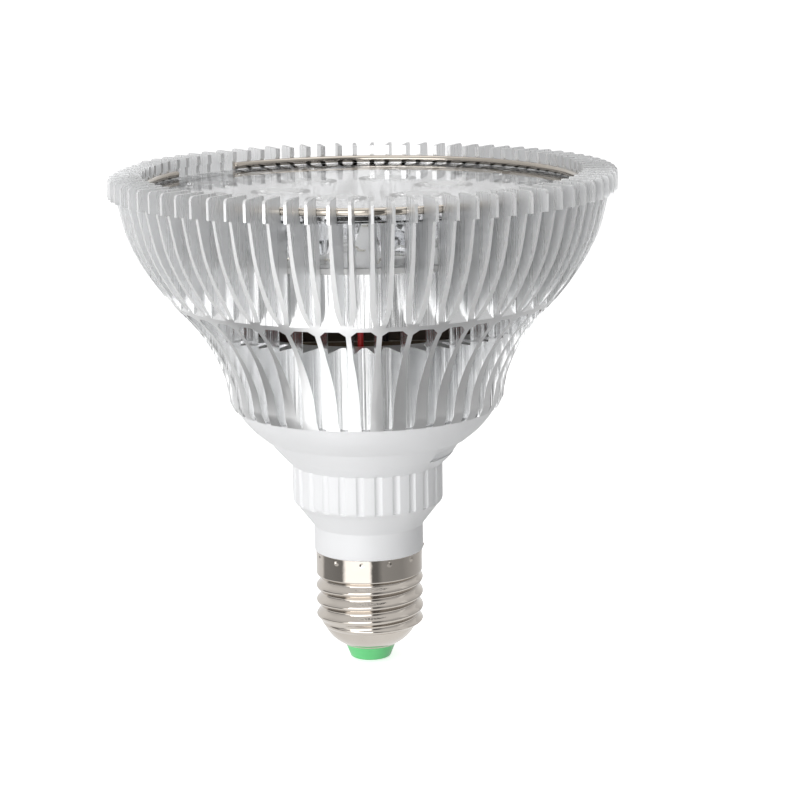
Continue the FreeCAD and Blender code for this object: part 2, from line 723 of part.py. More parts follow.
# Driver housing: a thin moulded shell with a fluted collar, two scooped recesses
# under the crease, a spigot in the cap, a sleeve in the heat sink and board guides.
def housing():
    body = document.addObject("PartDesign::Body", "housing_shell")
    wall = housing_wall
    spigot = cap_band_radius - cap_wall - fit_gap
    sleeve = core_radius - core_wall - fit_gap
    inner_curve = bowl_curve - wall
    turn_profile(body, "housing_turned", [
        (spigot - wall, cap_top - spigot_length),
        (spigot, cap_top - spigot_length),
        (spigot, cap_top),
        (neck_radius - neck_rounding, cap_top, neck_rounding),
        (neck_radius, cap_top + neck_rounding),
        (neck_radius, shoulder_bottom),
        (collar_radius - shoulder_lip, collar_bottom - shoulder_lip),
        (collar_radius, collar_bottom),
        (collar_radius, collar_top, bowl_curve),
        (crease_radius, crease),
        (crease_radius + crease_step, crease + crease_step_height, bowl_curve),
        (housing_rim_radius, sink_bottom),
        (sleeve, sink_bottom),
        (sleeve, sink_bottom + sleeve_height),
        (sleeve - wall, sink_bottom + sleeve_height),
        (sleeve - wall, sink_bottom - wall * 0.5, -inner_curve),
        (crease_radius - wall, crease - wall * 0.5, -inner_curve),
        (collar_radius - wall, collar_top + wall * 0.5),
        (collar_radius - wall, collar_bottom),
        (spigot - wall, shoulder_bottom),
    ])
    flutes = []
    for index in range(int(flute_count.number)):
        angle = flute_first_angle.number + 360 / flute_count.number * index
        across, along = circle_point(collar_radius + flute_radius - flute_depth, angle)
        flutes.append(cylinder(f"flute_{index + 1:02d}", flute_radius,
                               collar_height, across, along, collar_bottom))
    recesses = []
    for index in range(2):
        ring = document.addObject("Part::Cylinder", f"recess_outer_{index + 1}")
        ring.setExpression("Radius", (crease_radius + crease_step).formula)
        ring.setExpression("Height", recess_height.formula)
        ring.setExpression("Angle", recess_angle.formula)
        place(ring, 0, 0, crease - recess_height)
        turn = Length(180 * index, repr(180.0 * index)) + recess_turn - recess_angle / 2
        ring.Placement = Placement(ring.Placement.Base, Rotation(Vector(0, 0, 1), turn.number))
        ring.setExpression("Placement.Rotation.Angle", turn.formula)
        floor = cylinder(f"recess_floor_{index + 1}", recess_floor_radius, recess_height,
                         0, 0, crease - recess_height)
        pocket = document.addObject("Part::Cut", f"recess_{index + 1}")
        pocket.Base = ring
        pocket.Tool = floor
        recesses.append(pocket)
    scoops = []
    low = crease - recess_height - recess_wall / 2
    for index in range(2):
        scoop = document.addObject("PartDesign::Body", f"scoop_{index + 1}")
        lining = turn_profile(scoop, f"scoop_lining_{index + 1}", [
            (recess_floor_radius - recess_wall, low),
            (recess_floor_radius, low),
            (crease_radius - wall / 2, crease),
            (crease_radius - wall / 2, crease + recess_wall),
            (recess_floor_radius - recess_wall, crease + recess_wall),
        ])
        lining.setExpression("Angle", (recess_angle + recess_end_angle * 2).formula)
        turn = Length(180 * index, repr(180.0 * index)) + recess_turn
        turn = turn - recess_angle / 2 - recess_end_angle
        scoop.Placement = Placement(Vector(0, 0, 0), Rotation(Vector(0, 0, 1), turn.number))
        scoop.setExpression("Placement.Rotation.Angle", turn.formula)
        scoops.append(scoop)
    guides = []
    for side in (-1, 1):
        for face in (-1, 1):
            reach = driver_board_half - guide_depth
            width = collar_radius - wall * 0.5 - reach
            along = (driver_board_thickness / 2 + fit_gap + guide_thickness / 2) * face
            guides.append(block(f"guide_{side + 2}_{face + 2}", width, guide_thickness,
                                guide_length, (reach + width / 2) * side, along,
                                collar_bottom))
    whole = document.addObject("Part::MultiFuse", "housing_whole")
    whole.Shapes = [body, *scoops, *guides]
    return finished(cut_all(whole, flutes + recesses, "housing_cut"), "driver_housing")


def snap_ring():
    """Sprung steel wire ring, open over a small angle, in the groove above the lens."""
    ring = document.addObject("Part::Torus", "snap_ring")
    groove = lens_radius + fit_gap + snap_groove_depth
    ring.setExpression("Radius1", (groove - fit_gap - snap_wire_radius).formula)
    ring.setExpression("Radius2", snap_wire_radius.formula)
    ring.setExpression("Angle3", (as_length(360) - snap_gap_angle).formula)
    lens_top = rim_top - lens_seat_depth + lens_plate_thickness
    place(ring, 0, 0, lens_top + snap_wire_radius + wire_gap)
    turn = snap_gap_centre + snap_gap_angle / 2
    ring.Placement = Placement(ring.Placement.Base, Rotation(Vector(0, 0, 1), turn.number))
    ring.setExpression("Placement.Rotation.Angle", turn.formula)
    return finished(ring, "snap_ring")


def emitter_places():
    """Centre and angle of each light-emitting diode: an inner and an outer ring."""
    places = []
    for radius, count in ((inner_ring_radius, inner_ring_count),
                          (outer_ring_radius, outer_ring_count)):
        for index in range(int(count.number)):
            angle = emitter_first_angle.number + 360 / count.number * index
            across, along = circle_point(radius, angle)
            places.append((across, along, angle))
    return places


def lens():
    """Clear moulding: plate, skirt down to the board and a collimator over each diode."""
    body = document.addObject("PartDesign::Body", "lens_plate")
    plate_bottom = rim_top - lens_seat_depth
    board_top = rim_top - board_seat_depth + board_thickness
    turn_profile(body, "lens_turned", [
        (0, plate_bottom),
        (board_radius - lens_skirt_wall, plate_bottom),
        (board_radius - lens_skirt_wall, board_top),
        (board_radius, board_top),
        (board_radius, plate_bottom),
        (lens_radius, plate_bottom),
        (lens_radius, plate_bottom + lens_plate_thickness),
        (0, plate_bottom + lens_plate_thickness),
    ])
    solids = [body]
    cups = []
    bottom = board_top + collimator_lift
    for index, (across, along, angle) in enumerate(emitter_places()):
        cone = document.addObject("Part::Cone", f"collimator_{index + 1:02d}")
        cone.setExpression("Radius1", collimator_bottom_radius.formula)
        cone.setExpression("Radius2", collimator_top_radius.formula)
        cone.setExpression("Height", (plate_bottom - bottom).formula)
        place(cone, across, along, bottom)
        solids.append(cone)
        cups.append(cylinder(f"cup_{index + 1:02d}", collimator_cup_radius,
                             collimator_cup_depth, across, along, bottom))
    fused = document.addObject("Part::MultiFuse", "lens_fused")
    fused.Shapes = solids
    return finished(cut_all(fused, cups, "lens_cut"), "lens")


def light_board():
    """Aluminium board with two holes for the leads from the driver."""
    body = document.addObject("PartDesign::Body", "light_board_body")
    sketch = body.newObject("Sketcher::SketchObject", "light_board_outline")
    sketch.AttachmentSupport = [(origin_plane(body, "XY_Plane"), "")]
    sketch.MapMode = "FlatFace"
    add_circle(sketch, zero, zero, board_radius)
    for side in (-1, 1):
        add_circle(sketch, lead_hole_across * side, lead_hole_along, lead_hole_radius)
    pad_sketch(body, "light_board_pad", sketch, board_thickness, rim_top - board_seat_depth)
    return finished(body, "light_board")


def emitter(number, across, along, angle):
    """Diode on its base: a round body, a clear dome and two solder leads."""
    body = document.addObject("PartDesign::Body", f"diode_{number:02d}")
    rim = emitter_radius - emitter_ledge
    dome_bottom = emitter_height + emitter_slope
    turn_profile(body, f"diode_turned_{number:02d}", [
        (0, 0),
        (emitter_radius, 0),
        (emitter_radius, emitter_height),
        (rim, dome_bottom),
        (dome_radius, dome_bottom, dome_radius),
        (0, dome_bottom + dome_radius),
    ])
    half_span = emitter_lead_span / 2
    half_width = emitter_lead_width / 2
    strip = closed_sketch(body, f"diode_leads_{number:02d}", "XY_Plane", [
        (-half_span, -half_width), (half_span, -half_width),
        (half_span, half_width), (-half_span, half_width)])
    pad_sketch(body, f"diode_strip_{number:02d}", strip, emitter_lead_thickness)
    up = rim_top - board_seat_depth + board_thickness
    body.Placement = Placement(Vector(0, 0, 0), Rotation(Vector(0, 0, 1), angle + 90))
    place(body, across, along, up)
    return finished(body, f"diode_{number:02d}")


# Driver: insulating liner, circuit board and its components.
def insulating_liner():
    body = document.addObject("PartDesign::Body", "liner")
    outer = core_radius - core_wall - fit_gap
    bottom = sink_bottom + sleeve_height
    turn_profile(body, "liner_turned", [
        (outer - liner_wall, bottom),
        (outer, bottom),
        (outer, bottom + liner_height),
        (outer - liner_wall, bottom + liner_height),
    ])
    return finished(body, "insulating_liner")


def driver_board():
    body = document.addObject("PartDesign::Body", "driver_board_body")
    half = driver_board_thickness / 2
    sketch = closed_sketch(body, "driver_board_outline", "XZ_Plane", [
        (-driver_board_half, driver_board_bottom),
        (driver_board_half, driver_board_bottom),
        (driver_board_half, driver_board_step),
        (driver_board_top_half, driver_board_shoulder),
        (driver_board_top_half, driver_board_top),
        (-driver_board_top_half, driver_board_top),
        (-driver_board_top_half, driver_board_shoulder),
        (-driver_board_half, driver_board_step),
    ])
    pad_sketch(body, "driver_board_pad", sketch, driver_board_thickness, -half)
    return finished(body, "driver_board")


def standing_can(name, radius, height, across, up, side):
    """Round component standing on one face of the driver board."""
    item = document.addObject("Part::Cylinder", name)
    item.setExpression("Radius", radius.formula)
    item.setExpression("Height", height.formula)
    item.Placement = Placement(Vector(0, 0, 0), Rotation(Vector(1, 0, 0), -90 * side))
    place(item, across, driver_board_thickness / 2 * side, up)
    return finished(item, name)


def flat_component(name, length, depth, height, across, up, side):
    """Block-shaped component on one face of the driver board; up is its middle."""
    along = (driver_board_thickness + depth) / 2 * side
    item = block(name, length, depth, height, across, along, up - height / 2)
    return finished(item, name)


def transformer():
    """Ferrite core round a bobbin with its winding, on the driver board."""
    face = driver_board_thickness / 2
    depth = transformer_depth
    core = block("transformer_core", transformer_width, depth, transformer_height,
                 0, face + depth / 2, transformer_place - transformer_height / 2)
    winding = document.addObject("Part::Cylinder", "transformer_winding")
    winding.setExpression("Radius", (depth / 2 + transformer_winding_proud).formula)
    winding.setExpression("Height", (transformer_height - transformer_core_wall * 2).formula)
    place(winding, 0, face + depth / 2 + transformer_winding_proud,
          transformer_place - transformer_height / 2 + transformer_core_wall)
    window = block("transformer_window", transformer_width + 1, depth + 1,
                   transformer_height - transformer_core_wall * 2, 0, face + depth / 2,
                   transformer_place - transformer_height / 2 + transformer_core_wall)
    frame = document.addObject("Part::Cut", "transformer_frame")
    frame.Base = core
    frame.Tool = window
    whole = document.addObject("Part::MultiFuse", "transformer_whole")
    whole.Shapes = [frame, winding]
    return finished(whole, "transformer")


def lead(name, points, radius):
    """Insulated wire along straight runs joined by arcs."""
    route = [Vector(*(as_length(value).number for value in point)) for point in points]
    edges = []
    start = route[0]
    for index in range(1, len(route) - 1):
        corner = route[index]
        arrive = (corner - route[index - 1]).normalize()
        leave = (route[index + 1] - corner).normalize()
        turn = arrive.getAngle(leave)
        shortest = min((corner - route[index - 1]).Length, (route[index + 1] - corner).Length)
        reach = min(lead_bend.number * math.tan(turn / 2), shortest * 0.45)
        first = corner - arrive * reach
        last = corner + leave * reach
        bend = reach / math.tan(turn / 2)
        toward = (leave - arrive).normalize()
        middle = corner + toward * (bend / math.cos(turn / 2) - bend)
        edges.append(Part.LineSegment(start, first).toShape())
        edges.append(Part.Arc(first, middle, last).toShape())
        start = last
    edges.append(Part.LineSegment(start, route[-1]).toShape())
    path = Part.Wire(edges)
    direction = (route[1] - route[0]).normalize()
    section = Part.Wire([Part.Circle(route[0], direction, radius.number).toShape()])
    item = document.addObject("Part::Feature", name)
    item.Shape = path.makePipeShell([section], True, False)
    return finished(item, name)


finished(heat_sink(), "heat_sink")
snap_ring()
lens()
light_board()
for number, (across, along, angle) in enumerate(emitter_places()):
    emitter(number + 1, across, along, angle)
insulating_liner()
housing()
screw_cap()
base_insulator()
centre_contact()
driver_board()
transformer()
standing_can("output_capacitor", output_can_radius, output_can_height,
             driver_board_top_half - output_can_radius - output_can_inset,
             transformer_place, 1)
standing_can("input_capacitor", input_can_radius, input_can_height,
             input_can_across, driver_board_bottom + input_can_rise, 1)
flat_component("bridge_rectifier", bridge_length, bridge_depth, bridge_height,
               bridge_across, driver_board_bottom + bridge_rise, 1)
flat_component("control_chip", chip_length, chip_depth, chip_height,
               chip_across, driver_board_step, -1)
flat_component("power_transistor", transistor_length, transistor_depth, transistor_height,
               transistor_across, driver_board_shoulder + transistor_rise, -1)
flat_component("film_capacitor", film_length, film_depth, film_height,
               -driver_board_top_half + film_length / 2 + film_inset, transformer_place, 1)
standing_can("choke", choke_radius, choke_height, choke_across,
             driver_board_shoulder + choke_rise, -1)

light_board_bottom = rim_top - board_seat_depth
light_board_top = light_board_bottom + board_thickness
lead("red_board_lead", [
    (red_lead_across, -driver_board_thickness / 2, red_lead_start),
    (red_lead_across, red_lead_run, red_lead_start),
    (red_lead_across, red_lead_run, light_board_bottom - 6),
    (-lead_hole_across, lead_hole_along, light_board_bottom - 3.5),
    (-lead_hole_across, lead_hole_along, light_board_top),
], lead_radius)
lead("black_board_lead", [
    (5, 0, driver_board_top),
    (5, 0, driver_board_top + 4),
    (8, black_lead_run, driver_board_top + 6),
    (8, black_lead_run, light_board_bottom - 6),
    (lead_hole_across, lead_hole_along, light_board_bottom - 3.5),
    (lead_hole_across, lead_hole_along, light_board_top),
], lead_radius)
finished(cylinder("live_wire", supply_wire_radius, driver_board_bottom - contact_pin_height,
                  0, 0, contact_pin_height), "live_wire")
lead("neutral_wire", [
    (8, 0, driver_board_bottom),
    (8, 0, cap_top - spigot_length - 1.5),
    (thread_root_radius - cap_wall - 0.4, 0, cap_top - spigot_length - 3.5),
], supply_wire_radius)

document.recompute()

for item in document.Objects:
    if "Invalid" in item.State or "Error" in item.State:
        raise RuntimeError(f"{item.Name} did not build: {item.State}")
for piece in parts:
    shape = piece.Shape
    if shape.isNull() or not shape.isValid() or shape.Volume <= 0:
        raise RuntimeError(f"{piece.Label} is not a valid solid")

os.makedirs("parts", exist_ok=True)
for piece in parts:
    piece.Shape.exportStep(f"parts/{piece.Label}.step")
    print(f"{piece.Label:20s} solids {len(piece.Shape.Solids)} volume {piece.Shape.Volume:10.1f}")
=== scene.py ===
import math

import bmesh
import bpy
import numpy as np
from mathutils import Matrix


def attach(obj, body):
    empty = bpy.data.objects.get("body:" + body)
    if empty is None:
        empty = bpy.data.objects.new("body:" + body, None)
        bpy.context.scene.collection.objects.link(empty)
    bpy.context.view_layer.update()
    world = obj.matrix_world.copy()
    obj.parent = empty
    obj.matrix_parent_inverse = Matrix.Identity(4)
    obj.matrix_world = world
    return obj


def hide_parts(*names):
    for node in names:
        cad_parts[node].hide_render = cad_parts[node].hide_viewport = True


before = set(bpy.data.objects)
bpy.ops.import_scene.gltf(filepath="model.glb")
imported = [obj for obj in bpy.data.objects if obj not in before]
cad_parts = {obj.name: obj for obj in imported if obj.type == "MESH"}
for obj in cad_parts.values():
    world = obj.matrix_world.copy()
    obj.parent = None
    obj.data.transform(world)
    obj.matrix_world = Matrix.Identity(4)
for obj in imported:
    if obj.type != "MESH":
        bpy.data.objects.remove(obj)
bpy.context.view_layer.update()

# Heat sink: one aluminium extrusion with forty Y-shaped fins, turned to a bowl on a
# lathe and left uncoated. The fins' sides keep the die's upright streaks, and every
# turned face keeps the fine rings of the tool.


def smooth_piece(name, mesh, sharpest, turn_out=False):
    """Object of a mesh whose corners within a micrometre are joined, shaded smooth.

    An edge whose two faces turn by more than the angle, in degrees, stays sharp. The
    faces are turned outwards where that is asked for.
    """
    micrometre = 1e-6
    work = bmesh.new()
    work.from_mesh(mesh)
    bmesh.ops.remove_doubles(work, verts=work.verts, dist=micrometre)
    if turn_out:
        bmesh.ops.recalc_face_normals(work, faces=work.faces)
    work.to_mesh(mesh)
    work.free()
    mesh.shade_smooth()
    mesh.set_sharp_from_angle(angle=math.radians(sharpest))
    piece = bpy.data.objects.new(name, mesh)
    bpy.context.scene.collection.objects.link(piece)
    return piece


def joined_copy(node, name, sharpest):
    """Smooth copy of a node, without its material and its corner normals."""
    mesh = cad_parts[node].data.copy()
    mesh.materials.clear()
    if "custom_normal" in mesh.attributes:
        mesh.attributes.remove(mesh.attributes["custom_normal"])
    return smooth_piece(name, mesh, sharpest)


def finish_piece(piece, material, slot, *nodes):
    """Gives a piece its material and the root body, and hides the nodes that it stands for; the
    slot is not used.
    """
    piece.data.materials.append(material)
    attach(piece, "root")
    if nodes:
        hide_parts(*nodes)


def new_finish(name, colour, roughness=0.3, metallic=0.0):
    """Material with one Principled shader, its tree and that shader."""
    material = bpy.data.materials.new(name)
    material.use_nodes = True
    tree = material.node_tree
    shader = tree.nodes["Principled BSDF"]
    shader.inputs["Base Color"].default_value = (*colour, 1)
    shader.inputs["Roughness"].default_value = roughness
    shader.inputs["Metallic"].default_value = metallic
    return material, tree, shader


def feed(tree, value, socket):
    """Sets a socket to a number, or links it to the socket that the value is."""
    if isinstance(value, (int, float)):
        socket.default_value = value
    else:
        tree.links.new(value, socket)


def calculate(tree, operation, *values):
    """One step of arithmetic on values that are each a socket or a number."""
    step = tree.nodes.new("ShaderNodeMath")
    step.operation = operation
    for socket, value in zip(step.inputs, values):
        feed(tree, value, socket)
    return step.outputs["Value"]


def coordinates(tree, kind):
    """X, Y and Z of one kind of texture coordinate."""
    place = tree.nodes.new("ShaderNodeTexCoord")
    split = tree.nodes.new("ShaderNodeSeparateXYZ")
    tree.links.new(place.outputs[kind], split.inputs["Vector"])
    return split.outputs


def axis_distance(tree, place):
    """Distance from the lamp's axis: the square root of X squared plus Y squared."""
    across = calculate(tree, "MULTIPLY", place["X"], place["X"])
    along = calculate(tree, "MULTIPLY", place["Y"], place["Y"])
    return calculate(tree, "SQRT", calculate(tree, "ADD", across, along))


def noise(tree, vector, scale, detail):
    """Noise over a vector, with grains about as large as one over the scale."""
    texture = tree.nodes.new("ShaderNodeTexNoise")
    texture.inputs["Scale"].default_value = scale
    texture.inputs["Detail"].default_value = detail
    tree.links.new(vector, texture.inputs["Vector"])
    return texture.outputs["Fac"]


def grain(tree, scale, stretch=(1, 1, 1), detail=4.0):
    """Noise over object coordinates, each axis multiplied by its own stretch."""
    place = tree.nodes.new("ShaderNodeTexCoord")
    turn = tree.nodes.new("ShaderNodeMapping")
    turn.inputs["Scale"].default_value = stretch
    tree.links.new(place.outputs["Object"], turn.inputs["Vector"])
    return noise(tree, turn.outputs["Vector"], scale, detail)


def between(tree, value, low, high):
    """Noise value carried from its usual 0.3 to 0.7 onto the span from low to high."""
    carry = tree.nodes.new("ShaderNodeMapRange")
    for name, number in (("From Min", 0.3), ("From Max", 0.7), ("To Min", low), ("To Max", high)):
        carry.inputs[name].default_value = number
    tree.links.new(value, carry.inputs["Value"])
    return carry.outputs["Result"]


def vary_roughness(tree, shader, value, spread):
    """Roughness that noise takes up and down from the finish's own by the spread."""
    middle = shader.inputs["Roughness"].default_value
    tree.links.new(between(tree, value, middle - spread, middle + spread),
                   shader.inputs["Roughness"])


def tint(tree, shader, factor, second):
    """Base colour that goes from the finish's own to a second one with the factor."""
    mix = tree.nodes.new("ShaderNodeMix")
    mix.data_type = "RGBA"
    mix.inputs["A"].default_value = shader.inputs["Base Color"].default_value
    mix.inputs["B"].default_value = (*second, 1)
    tree.links.new(factor, mix.inputs["Factor"])
    tree.links.new(mix.outputs["Result"], shader.inputs["Base Color"])


def relief(tree, shader, height, depth):
    """Bump of a height map; depth is the height of its full range in metres."""
    bump = tree.nodes.new("ShaderNodeBump")
    bump.inputs["Strength"].default_value = 1.0
    bump.inputs["Distance"].default_value = depth
    tree.links.new(height, bump.inputs["Height"])
    tree.links.new(bump.outputs["Normal"], shader.inputs["Normal"])


def turned_aluminium():
    """Bare aluminium: upright streaks from the die, and satin faces from the lathe.

    A face whose normal leans up or down was cut by the tool, so it takes rings about
    the axis and is rougher and darker. Inside the web's radius the streaks are deep,
    and the metal is smoother and mirrors more. The relief's full range is 0.3 mm.
    """
    material, tree, shader = new_finish("bare_aluminium", (0.60, 0.60, 0.60))
    least_lean = 0.04
    web_radius = 0.0475
    outer_streak_share, ring_share = 0.01, 0.025
    inner_polish, turned_roughness, turned_shade = -0.16, 0.20, -0.45
    most_metallic, outer_dullness = 0.9, -0.3
    place = coordinates(tree, "Object")
    radius = axis_distance(tree, place)
    lean = calculate(tree, "ABSOLUTE", coordinates(tree, "Normal")["Z"])
    is_turned = calculate(tree, "GREATER_THAN", lean, least_lean)
    is_inner = calculate(tree, "LESS_THAN", radius, web_radius)
    is_outer = calculate(tree, "SUBTRACT", 1.0, is_inner)

    streaks = grain(tree, 700, (1, 1, 0.012), 5)
    smudges = grain(tree, 60, (1, 1, 0.6), 3)
    radius_and_height = tree.nodes.new("ShaderNodeCombineXYZ")
    tree.links.new(radius, radius_and_height.inputs["X"])
    tree.links.new(place["Z"], radius_and_height.inputs["Z"])
    rings = noise(tree, radius_and_height.outputs["Vector"], 2600, 2)
    deep = calculate(tree, "MULTIPLY_ADD", is_inner, 1 - outer_streak_share, outer_streak_share)
    height = tree.nodes.new("ShaderNodeMix")
    tree.links.new(is_turned, height.inputs["Factor"])
    tree.links.new(calculate(tree, "MULTIPLY", streaks, deep), height.inputs["A"])
    tree.links.new(calculate(tree, "MULTIPLY", rings, ring_share), height.inputs["B"])
    relief(tree, shader, height.outputs["Result"], 0.0003)

    drawn = calculate(tree, "MULTIPLY_ADD", is_inner, inner_polish,
                      between(tree, streaks, 0.24, 0.34))
    roughness = calculate(tree, "MULTIPLY_ADD", is_turned, turned_roughness, drawn)
    tree.links.new(roughness, shader.inputs["Roughness"])
    brightness = calculate(tree, "MULTIPLY_ADD", is_turned, turned_shade,
                           between(tree, smudges, 0.85, 1.0))
    tint(tree, shader, brightness, (0.93, 0.935, 0.94))
    dull = calculate(tree, "MULTIPLY_ADD", is_turned, outer_dullness, outer_dullness)
    metallic = calculate(tree, "MULTIPLY_ADD", is_outer, dull, most_metallic)
    tree.links.new(metallic, shader.inputs["Metallic"])
    return material


def deepen_rim_step(mesh):
    """Cuts the step under the rim's band 2 mm deep, with the band 5 mm high.

    Heights and radii in millimetres. From 104 up to the solid's step the fins' outer
    edges move in and down by a share that grows as a smooth step, and the slope of
    the step, from radius 60.1 to 61, is stretched to run from 59 to 61 just under 117.
    """
    low_radius, low_height = 55.3, 104
    step_radius, step_height = 60.1, 117.5
    rim_radius, slope_height = 61, 0.5
    new_step_radius, new_step_height, new_slope_height = 59, 116.75, 0.25
    slack = 0.05
    corners = np.empty(len(mesh.vertices) * 3)
    mesh.vertices.foreach_get("co", corners)
    corners = corners.reshape(-1, 3) * 1000
    radius = np.hypot(corners[:, 0], corners[:, 1])
    height = corners[:, 2]
    way_up = (height - low_height) / (step_height - low_height)
    chord = low_radius + way_up * (step_radius - low_radius)
    on_edge = (height > low_height) & (height < step_height - slack) & (radius > chord - 3 * slack)
    on_step = ((height > step_height - slack) & (height < step_height + slope_height + slack)
               & (radius > step_radius - 4 * slack))
    share = np.clip(way_up, 0, 1)
    eased = share ** 2 * (3 - 2 * share)
    across = (radius - step_radius) / (rim_radius - step_radius)
    edge_radius = radius - (step_radius - new_step_radius) * eased
    edge_height = height - (step_height - new_step_height) * eased
    step_radii = new_step_radius + (rim_radius - new_step_radius) * across
    step_heights = new_step_height + new_slope_height * across
    moved = np.where(on_edge, edge_radius, np.where(on_step, step_radii, radius))
    corners[:, :2] *= (moved / np.maximum(radius, 1e-6))[:, None]
    corners[:, 2] = np.where(on_edge, edge_height, np.where(on_step, step_heights, height))
    mesh.vertices.foreach_set("co", (corners * 0.001).ravel())
    mesh.update()


sink = joined_copy("heat_sink", "finned_heat_sink", sharpest=28)
deepen_rim_step(sink.data)
finish_piece(sink, turned_aluminium(), "heat_sink", "heat_sink")

# Snap ring: drawn spring steel wire, bent to an open ring and sprung into the groove
# above the lens, which it presses down on its seat.


def grid_piece(name, points):
    """Piece over one or more grids of points, rows by columns by three, in millimetres.

    Each face joins four neighbours, and the last column joins the first. Points that
    fall together, as at a pole, become one, and the faces are turned outwards.
    """
    copies = points.reshape(-1, *points.shape[-3:])
    count, rows, columns = copies.shape[:3]
    copy, row, column = np.meshgrid(np.arange(count), np.arange(rows - 1),
                                    np.arange(columns), indexing="ij")
    below = (copy * rows + row) * columns
    above = below + columns
    after = (column + 1) % columns
    faces = np.stack([below + column, below + after, above + after, above + column], axis=-1)
    mesh = bpy.data.meshes.new(name)
    mesh.from_pydata((copies.reshape(-1, 3) * 0.001).tolist(), [], faces.reshape(-1, 4).tolist())
    return smooth_piece(name, mesh, sharpest=35, turn_out=True)


def round_points(reach, turn, height):
    """Points from distances to the axis, turns in radians and heights.

    X is the distance times the cosine of the turn, and Y the distance times its sine.
    """
    reach, turn, height = np.broadcast_arrays(reach, turn, height)
    return np.stack([reach * np.cos(turn), reach * np.sin(turn), height], axis=-1)


def open_ring(radius, height, wire, start, end):
    """Wire ring: a circle of the wire's radius carried along an arc about the axis.

    The arc runs from start to end in degrees. At each end the section shrinks over a
    quarter ellipse half as long as the wire's radius, so that the cut is rounded.
    """
    steps_along, steps_round, steps_at_end = 340, 24, 7
    quarter = np.linspace(0, math.pi / 2, steps_at_end)
    first, last = math.radians(start), math.radians(end)
    from_end = 0.5 * wire / radius * (1 - np.cos(quarter))
    middle = np.linspace(first, last, steps_along)[1:-1]
    turn = np.concatenate([first + from_end, middle, last - from_end[::-1]])[:, None]
    swell = np.sin(quarter)
    section = wire * np.concatenate([swell, np.ones(len(middle)), swell[::-1]])[:, None]
    round_wire = np.linspace(0, 2 * math.pi, steps_round, endpoint=False)
    return round_points(radius + section * np.cos(round_wire), turn,
                        height + section * np.sin(round_wire))


wire_steel, tree, shader = new_finish("spring_steel", (0.47, 0.43, 0.38), 0.11, 1.0)
vary_roughness(tree, shader, grain(tree, 500), 0.05)
ring = grid_piece("snap_ring_wire", open_ring(radius=52.2, height=118.6, wire=0.9,
                                              start=152, end=489))
finish_piece(ring, wire_steel, "snap_ring", "snap_ring")

# Lens: one clear acrylic moulding. The plate lies on the heat sink's seat, its skirt
# stands on the light board, and under it each diode has its own cone with a cup.
clear, tree, shader = new_finish("clear_acrylic", (0.94, 0.945, 0.955), 0.03)
shader.inputs["Transmission Weight"].default_value = 1.0
shader.inputs["IOR"].default_value = 1.49
lens = joined_copy("lens", "lens_moulding", sharpest=25)
finish_piece(lens, clear, "lens", "lens")

# Light board: an aluminium disc with a white solder mask. It lies on a step in the heat
# sink, and the lens's skirt presses it down.


def node_finish(material, *names):
    """Gives CAD nodes one material in place of their own."""
    for name in names:
        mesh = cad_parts[name].data
        mesh.materials.clear()
        mesh.materials.append(material)


solder_mask, tree, shader = new_finish("white_solder_mask", (0.80, 0.80, 0.79), 0.35)
tint(tree, shader, grain(tree, 120), (0.85, 0.85, 0.84))
relief(tree, shader, grain(tree, 2500), 0.00001)
node_finish(solder_mask, "light_board")

# Light-emitting diodes: a white plastic body with a cup, a clear silicone dome over the
# chip, and two tinned leads soldered to the board. Six of the eighteen shine red.


def arc_points(start, end, radius, count):
    """Points of a circular arc between two points of the (radius, height) plane.

    A positive radius bulges to the right of the way from start to end.
    """
    start, end = np.array(start, float), np.array(end, float)
    chord = end - start
    half = np.hypot(*chord) / 2
    left = np.array([-chord[1], chord[0]]) / (half * 2)
    from_chord = math.copysign(math.sqrt(radius ** 2 - half ** 2), radius)
    centre = (start + end) / 2 + left * from_chord
    first = math.atan2(*(start - centre)[::-1])
    last = math.atan2(*(end - centre)[::-1])
    sweep = (last - first + math.pi) % (2 * math.pi) - math.pi
    turn = first + sweep * np.linspace(0, 1, count)
    return centre + abs(radius) * np.stack([np.cos(turn), np.sin(turn)], axis=-1)


def turned_points(profile, columns):
    """Profile in the (radius, height) plane, closed and turned once about the axis."""
    closed = np.concatenate([profile, profile[:1]])
    turn = np.linspace(0, 2 * math.pi, columns, endpoint=False)
    return round_points(closed[:, :1], turn, closed[:, 1:])


def lead_points():
    """Two bent strips: a rectangle carried out from the body, down and along the board.

    The path's points are distances out and heights, and the first and the last come
    twice, because the section starts and ends as a point that closes the strip.
    """
    path = np.array([(3.7, 1.0), (3.7, 1.0), (4.6, 1.0), (4.9, 0.85), (5.15, 0.35),
                     (5.4, 0.2), (6.8, 0.2), (6.8, 0.2)])
    swell = np.array([0, 1, 1, 1, 1, 1, 1, 0])[:, None]
    corners = np.array([(-0.6, -0.15), (0.6, -0.15), (0.6, 0.15), (-0.6, 0.15)])
    out = np.repeat(path[:, :1], len(corners), axis=1)
    side = corners[:, 0] * swell
    lift = path[:, 1:] + corners[:, 1] * swell
    strip = np.stack([out, side, lift], axis=-1)
    return np.stack([strip, strip * np.array([-1, -1, 1])])


def on_the_board(points, places):
    """Copies of a grid on the light board, each turned so that its X runs sideways.

    A place is a radius and an angle in degrees. Each copy's centre is its radius
    times the outward direction, at the height of the board's face.
    """
    board_face = 105.3
    angle = np.radians(places[:, 1])
    level = np.zeros(len(places))
    outward = np.stack([np.cos(angle), np.sin(angle), level], axis=-1)
    sideways = np.stack([-np.sin(angle), np.cos(angle), level], axis=-1)
    upward = np.stack([level, level, level + 1], axis=-1)
    spin = np.stack([sideways, -outward, upward], axis=-1)
    centre = outward * places[:, :1] + upward * board_face
    moved = np.einsum("cij,...j->c...i", spin, points)
    return moved + centre.reshape(-1, *(1,) * (points.ndim - 1), 3)


